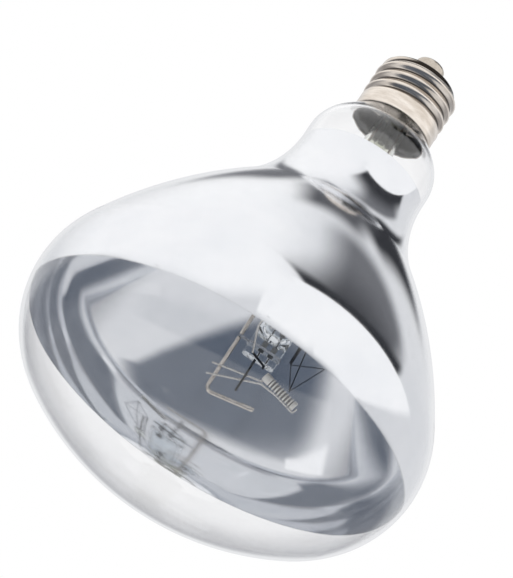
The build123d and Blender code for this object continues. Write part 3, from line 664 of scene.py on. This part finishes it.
@dataclass
class ScrewCap:
    """Screw shell with its rolled thread, its cement and the pieces that close it, in millimetres."""

    rim_z: float = 27.0
    end_z: float = 7.6
    opening_r: float = 8.5
    end_round: float = 2.5
    crest_r: float = 13.025
    depth: float = 0.93
    pitch: float = 3.629
    turns: int = 4
    skirt_r: float = 12.85
    wall: float = 0.35
    fade: float = 1.6
    cement_gap: float = 0.02
    end_steps: int = 8
    wall_rows: int = 90
    steps: int = 192

    def mean_r(self) -> float:
        """Radius halfway between the thread's crests and its grooves."""
        return self.crest_r - self.depth / 2

    def thread_top(self) -> float:
        """Height where the thread has run out into the skirt."""
        return self.end_z + self.turns * self.pitch

    def wall_radius(self, height: float, angle: float) -> float:
        """Radius of the rolled wall.

        Args:
            height: Height on the wall.
            angle: Place round the axis, in radians.

        Returns:
            The radius there, with the thread running out into the skirt.
        """
        phase = 2 * math.pi * (height - self.end_z) / self.pitch - angle
        fade = min(1.0, max(0.0, (self.thread_top() - height) / self.fade))
        fade = fade * fade * (3 - 2 * fade)
        thread = self.mean_r() + self.depth / 2 * math.sin(phase)
        return thread * fade + self.skirt_r * (1 - fade)

    def shell(self) -> bpy.types.Object:
        """Model the sheet shell and roll the thread into it.

        Returns:
            The shell.
        """
        mean = self.mean_r()
        flat_r = mean - self.end_round
        outline = [(self.opening_r, self.end_z), (flat_r, self.end_z)]
        outline += arc_points(outline[-1], 0, self.end_round, 90, self.end_steps)
        first = outline[-1][1]
        row = (self.rim_z - first) / self.wall_rows
        outline += [(mean, first + row * i) for i in range(1, self.wall_rows + 1)]
        piece = turned("screw_shell", outline, self.steps, closed=False)
        for vertex in piece.data.vertices:
            x, y, z = (c / MM for c in vertex.co)
            radius = math.hypot(x, y)
            angle = math.atan2(y, x)
            share = min(1.0, max(0.0, (radius - flat_r) / self.end_round))
            wanted = radius + (self.wall_radius(z, angle) - mean) * share ** 2
            vertex.co = (wanted * math.cos(angle) * MM, wanted * math.sin(angle) * MM, z * MM)
        deselect()
        piece.select_set(True)
        bpy.context.view_layer.objects.active = piece
        bpy.ops.object.modifier_add(type="SOLIDIFY")
        piece.modifiers[-1].thickness = self.wall * MM
        piece.modifiers[-1].offset = -1
        bpy.ops.object.modifier_apply(modifier=piece.modifiers[-1].name)
        return dress(piece, NICKEL_PLATE.material(), "cap_shell")

    def cement(self) -> bpy.types.Object:
        """Model the ring of cement that fills the shell round the glass, clear of the thread's grooves.

        Returns:
            The ring.
        """
        low, high = (corner.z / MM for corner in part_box("basing_cement"))
        groove_r = self.crest_r - self.depth - self.wall - self.cement_gap
        band_r = self.skirt_r - self.wall - self.cement_gap
        band_z = self.thread_top() + band_r - groove_r
        outline = clip_outline(Envelope().outline(-self.cement_gap), low, high)
        outline += [(band_r, high), (band_r, band_z), (groove_r, self.thread_top()), (groove_r, low)]
        ring = turned("cement_ring", outline, self.steps)
        return dress(ring, CEMENT.material(), "basing_cement")

    def build(self) -> None:
        """Build the shell and its cement, and paint the pieces that close the shell."""
        self.shell()
        self.cement()
        paint("cap_insulator", CAP_GLASS.material())
        paint("centre_contact", CONTACT_METAL.material())
        solder = SOLDER.material()
        paint("contact_solder", solder)
        paint("shell_solder", solder)


@dataclass
class Mount:
    """Stem, leads, arc tube, starting resistor and ballast filament, as the CAD model has them."""

    finishes: tuple[tuple[Finish | Glass, tuple[str, ...]], ...] = (
        (STEM_GLASS, ("stem", "exhaust_tube", "hook_bead")),
        (LEAD_WIRE, ("shell_lead", "contact_lead")),
        (NICKEL_ROD, ("support_rod",)),
        (NICKEL_WIRE, ("feed_wire", "resistor_tie_wire", "resistor_brace_wire")),
        (DARK_WIRE, ("filament_post", "rear_electrode_lead", "front_electrode_lead", "probe_lead",
                     "filament_hooks")),
        (QUARTZ, ("arc_tube",)),
        (TUNGSTEN, ("starting_probe",)),
        (FOIL, ("seal_foils",)),
        (MERCURY, ("mercury_bead",)),
        (STRAP_SHEET, ("rear_strap", "front_strap")),
        (SLEEVE, ("starting_resistor",)),
    )

    def build(self) -> None:
        """Paint every piece of the mount."""
        for finish, nodes in self.finishes:
            material = finish.material()
            for node in nodes:
                paint(node, material)


@dataclass
class Windings:
    """Coiled ballast filament and the wound heads of the electrodes, in millimetres."""

    filament_corners: tuple[tuple[float, float, float], ...] = (
        (-13.0, 2.0, 108.32), (-22.1, 2.0, 103.2), (-16.9, 2.0, 115.4),
        (-13.0, -0.4, 109.0), (-12.5, -3.2, 78.0), (0.583, -4.592, 73.45))
    filament_bend: float = 0.7
    filament_r: float = 0.25
    filament_wire_r: float = 0.07
    filament_pitch: float = 0.32
    filament_rounding: int = 1
    points_a_turn: int = 10
    shank_r: float = 0.4
    shank_steps: int = 8
    shank_rounding: int = 3
    head_length: float = 4.0
    head_r: float = 1.1
    head_wire_r: float = 0.19
    head_rounding: int = 2

    def filament(self) -> bpy.types.Object:
        """Wind the filament as one fine coil from the post, over its hooks, to the arc tube's lead.

        Returns:
            The coil.
        """
        corners = [Vector(corner) for corner in self.filament_corners]
        route = rounded_route(corners, self.filament_bend, self.filament_pitch / self.points_a_turn)
        radius = self.filament_r - self.filament_wire_r
        coil = wound(route, (0.0, radius, 0.0), self.filament_pitch)
        piece = wire("ballast_coil", coil, self.filament_wire_r, self.filament_rounding)
        return dress(piece, TUNGSTEN.material(), "ballast_filament")

    def electrode(self, node: str, head_down: bool) -> bpy.types.Object:
        """Wind two layers of wire round the tip of a shank.

        Args:
            node: CAD node of the electrode.
            head_down: Whether the head is at the lower end.

        Returns:
            The electrode.
        """
        low, high = (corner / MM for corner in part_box(node))
        middle = (low + high) / 2
        tip, root = (low.z, high.z) if head_down else (high.z, low.z)
        inward = 1 if root > tip else -1
        ends = [Vector((middle.x, middle.y, z)) for z in (root, tip)]
        run = rounded_route(ends, 0.0, abs(root - tip) / self.shank_steps)
        shank = wire("shank", run, self.shank_r, self.shank_rounding)
        pitch = 2 * self.head_wire_r
        first = Vector((middle.x, middle.y, tip + inward * self.head_wire_r))
        last = Vector((middle.x, middle.y, tip + inward * (self.head_length - self.head_wire_r)))
        outer = self.head_r - self.head_wire_r
        inner = self.shank_r + self.head_wire_r
        layers = []
        for radius, layer_ends in ((inner, (first, last)), (outer, (last, first))):
            route = rounded_route(layer_ends, 0.0, pitch / (2 * self.points_a_turn))
            coil = wound(route, (radius, radius, radius), pitch)
            layers.append(wire("layer", coil, self.head_wire_r, self.head_rounding))
        piece = join(node + "_wound", [shank, *layers])
        return dress(piece, TUNGSTEN.material(), node)

    def build(self) -> None:
        """Build the filament and both electrodes."""
        self.filament()
        self.electrode("front_electrode", head_down=True)
        self.electrode("rear_electrode", head_down=False)


@dataclass(frozen=True)
class Panel:
    """A softbox, gap or wall of the studio that only reflections show, by direction from the bulb.

    All angles are in degrees. The edges are angles from the panel's middle, and each edge fades outwards
    over its own softness.
    """

    name: str
    azimuth: float
    elevation: float
    colour: str
    left: float
    right: float
    bottom: float
    top: float
    soft: tuple[float, float, float, float]
    roll: float = 0.0
    least_ahead: ClassVar[float] = 0.02

    def axes(self) -> tuple[Vector, Vector, Vector]:
        """Work out how the panel faces the bulb.

        Returns:
            Directions to the panel's middle, to its right and to its top.
        """
        turn, rise, roll = (math.radians(a) for a in (self.azimuth, self.elevation, self.roll))
        middle = Vector((math.sin(turn) * math.cos(rise), -math.cos(turn) * math.cos(rise), math.sin(rise)))
        across = Vector((math.cos(turn), math.sin(turn), 0))
        up = Vector((-math.sin(turn) * math.sin(rise), math.cos(turn) * math.sin(rise), math.cos(rise)))
        right = across * math.cos(roll) - up * math.sin(roll)
        return middle, right, up * math.cos(roll) + across * math.sin(roll)

    def mask(self, tree: bpy.types.NodeTree, direction: bpy.types.NodeSocket) -> bpy.types.NodeSocket:
        """Add the nodes that tell how much of this panel a direction sees.

        Args:
            tree: Node tree of the world.
            direction: Socket with the unit direction.

        Returns:
            Socket with the share, from 0 to 1.
        """
        dots = [add_node(tree, "ShaderNodeVectorMath", {"operation": "DOT_PRODUCT", 1: axis}, {0: direction})
                for axis in self.axes()]
        ahead = add_node(tree, "ShaderNodeMath", {"operation": "MAXIMUM", 1: self.least_ahead},
                         {0: dots[0].outputs["Value"]})
        edges = ((1, self.left, -self.soft[0]), (1, self.right, self.soft[1]),
                 (2, self.bottom, -self.soft[2]), (2, self.top, self.soft[3]))
        shares = []
        for axis, edge, soft in edges:
            place = add_node(tree, "ShaderNodeMath", {"operation": "DIVIDE"},
                             {0: dots[axis].outputs["Value"], 1: ahead.outputs["Value"]})
            fade = add_node(tree, "ShaderNodeMapRange",
                            {"interpolation_type": "SMOOTHSTEP",
                             "From Min": math.tan(math.radians(edge + soft)),
                             "From Max": math.tan(math.radians(edge))}, {"Value": place.outputs["Value"]})
            shares.append(fade.outputs["Result"])
        seen = shares[0]
        for share in shares[1:]:
            both = add_node(tree, "ShaderNodeMath", {"operation": "MULTIPLY"}, {0: seen, 1: share})
            seen = both.outputs["Value"]
        return seen


WALLS = "#DEDFE1"
EYE_LEVEL = "#A2A3A7"
PANELS = (
    # the broad key softbox
    Panel("key_softbox", 80.0, -46.0, WHITE, -50.0, 26.0, -26.0, 32.0, (20.0, 32.0, 24.0, 24.0)),
    # the unlit corner of the room past the second softbox
    Panel("unlit_corner", -108.0, -67.0, "#747579", -6.0, 12.0, -10.0, 8.0, (8.0, 14.0, 14.0, 8.0)),
    # the second softbox, whose edges the mirror shows sharply
    Panel("second_softbox", -50.0, -71.0, WHITE, -45.0, 24.0, 8.0, 66.0, (6.0, 1.0, 0.6, 8.0), 13.7),
    Panel("softbox_end", -8.0, -22.0, WHITE, -14.0, 14.7, -27.0, 16.0, (10.0, 1.0, 8.0, 8.0)),
    # the dark gap along that edge
    Panel("gap_past_softbox", -50.0, -71.0, "#37383C", -31.0, 16.0, 3.0, 8.0, (4.0, 4.0, 20.0, 0.8), 13.7),
    # gaps beside and below the backdrop
    Panel("backdrop_left", 165.0, -48.0, "#77787C", -3.0, 4.0, -4.0, 3.0, (6.0, 8.0, 8.0, 6.0)),
    Panel("backdrop_right", -163.0, -55.0, "#37383C", -4.0, 4.0, -7.0, 7.0, (7.0, 7.0, 7.0, 7.0)),
    Panel("backdrop_foot", 180.0, -67.0, "#5C5D61", -5.0, 5.0, -4.0, 4.0, (7.0, 7.0, 7.0, 6.0)),
    # the far walls of the room at eye level, which give the glass its edges
    Panel("left_wall", 118.0, 4.0, EYE_LEVEL, -20.0, 32.0, -5.0, 10.0, (26.0, 1.0, 10.0, 16.0)),
    Panel("far_wall", 180.0, 4.0, EYE_LEVEL, -32.0, 32.0, -5.0, 10.0, (1.0, 1.0, 10.0, 16.0)),
    Panel("right_wall", -118.0, 4.0, EYE_LEVEL, -32.0, 20.0, -5.0, 10.0, (1.0, 26.0, 10.0, 16.0)),
    # the room behind the camera, with a window in it
    Panel("camera_side", 2.0, 36.0, "#525B69", -40.0, 42.0, -10.0, 14.0, (20.0, 20.0, 20.0, 6.0), -18.0),
    Panel("window", 66.0, 18.0, WHITE, -9.0, 11.0, -4.0, 4.0, (2.0, 3.0, 2.0, 2.0)),
)


@dataclass
class Studio:
    """Camera, floor and white surroundings with the studio's panels."""

    camera_mm: tuple[float, float, float] = (6.862, -766.602, 476.461)
    elevation: float = 26.45
    roll: float = 213.52
    focal_px: float = 3000.0
    frame_height_px: float = 578.0
    sensor_mm: float = 36.0
    nearest_mm: float = 10.0
    furthest_mm: float = 100000.0
    floor_drop_mm: float = 300.0
    floor_mm: float = 8000.0
    floor_tone: str = "#F4F4F4"
    softbox_level: float = 1.12
    bounces: int = 32
    mirror_bounces: int = 24

    def camera(self) -> None:
        """Place the camera at the photograph's viewing angle."""
        data = bpy.data.cameras.new("photo_camera")
        data.sensor_width = self.sensor_mm
        data.lens = self.focal_px / self.frame_height_px * self.sensor_mm
        data.clip_start = self.nearest_mm * MM
        data.clip_end = self.furthest_mm * MM
        camera = bpy.data.objects.new("photo_camera", data)
        bpy.context.scene.collection.objects.link(camera)
        tilt = Matrix.Rotation(math.radians(90 - self.elevation), 4, "X")
        roll = Matrix.Rotation(math.radians(self.roll), 4, "Z")
        camera.matrix_world = Matrix.Translation(Vector(self.camera_mm) * MM) @ tilt @ roll
        bpy.context.scene.camera = camera

    def world(self) -> None:
        """Surround the object with white, and let reflections show the studio's panels as well."""
        world = bpy.data.worlds.new("white_studio")
        bpy.context.scene.world = world
        world.use_nodes = True
        tree = world.node_tree
        tree.nodes.clear()
        direction = add_node(tree, "ShaderNodeTexCoord").outputs["Generated"]
        behind: dict[int, bpy.types.NodeSocket] = {}
        for panel in PANELS:
            tones = {"data_type": "RGBA", MIX_FIRST: linear(WALLS), MIX_SECOND: linear(panel.colour)}
            mix = add_node(tree, "ShaderNodeMix", tones, {"Factor": panel.mask(tree, direction), **behind})
            behind = {MIX_FIRST: mix.outputs[MIX_RESULT]}
        path = add_node(tree, "ShaderNodeLightPath")
        mirrored = add_node(tree, "ShaderNodeMath", {"operation": "GREATER_THAN", 1: MIRRORED_DEPTH},
                            {0: path.outputs["Glossy Depth"]})
        white = add_node(tree, "ShaderNodeBackground", {"Color": linear(WHITE), "Strength": 1.0})
        studio = add_node(tree, "ShaderNodeBackground", {"Strength": self.softbox_level},
                          {"Color": behind[MIX_FIRST]})
        both = add_node(tree, "ShaderNodeMixShader", {}, {0: mirrored.outputs["Value"], 1: white.outputs[0],
                                                          2: studio.outputs[0]})
        output = tree.nodes.new("ShaderNodeOutputWorld")
        tree.links.new(both.outputs["Shader"], output.inputs["Surface"])

    def floor(self) -> None:
        """Lay a pale floor below the bulb."""
        deselect()
        bpy.ops.mesh.primitive_plane_add(size=self.floor_mm * MM, location=(0, 0, -self.floor_drop_mm * MM))
        floor = bpy.context.object
        floor.name = "floor"
        material, tree, output = start_material("pale_floor")
        path = add_node(tree, "ShaderNodeLightPath")
        seen = add_node(tree, "ShaderNodeMath", {"operation": "MAXIMUM"},
                        {0: path.outputs["Is Camera Ray"], 1: path.outputs["Is Glossy Ray"]})
        seen = add_node(tree, "ShaderNodeMath", {"operation": "MAXIMUM"},
                        {0: seen.outputs["Value"], 1: path.outputs["Is Transmission Ray"]})
        matt = add_node(tree, "ShaderNodeBsdfDiffuse", {"Color": linear(self.floor_tone)})
        white = add_node(tree, "ShaderNodeEmission", {"Color": linear(WHITE), "Strength": 1.0})
        mix = add_node(tree, "ShaderNodeMixShader", {}, {0: seen.outputs["Value"], 1: matt.outputs["BSDF"],
                                                         2: white.outputs["Emission"]})
        tree.links.new(mix.outputs["Shader"], output.inputs["Surface"])
        floor.data.materials.append(material)
        floor.visible_glossy = False
        floor.visible_transmission = False

    def build(self) -> None:
        """Build the studio and the view settings."""
        scene = bpy.context.scene
        scene.view_settings.view_transform = "Standard"
        scene.cycles.max_bounces = self.bounces
        scene.cycles.glossy_bounces = self.mirror_bounces
        scene.cycles.transmission_bounces = self.bounces
        self.camera()
        self.world()
        self.floor()


def main() -> None:
    """Build the pieces in order, then the studio."""
    logging.basicConfig(level=logging.INFO, format="%(name)s %(message)s")
    for part in (Envelope(), ScrewCap(), Mount(), Windings(), Studio()):
        part.build()
        LOG.info("%s: built", type(part).__name__)


if __name__ == "__main__":
    main()
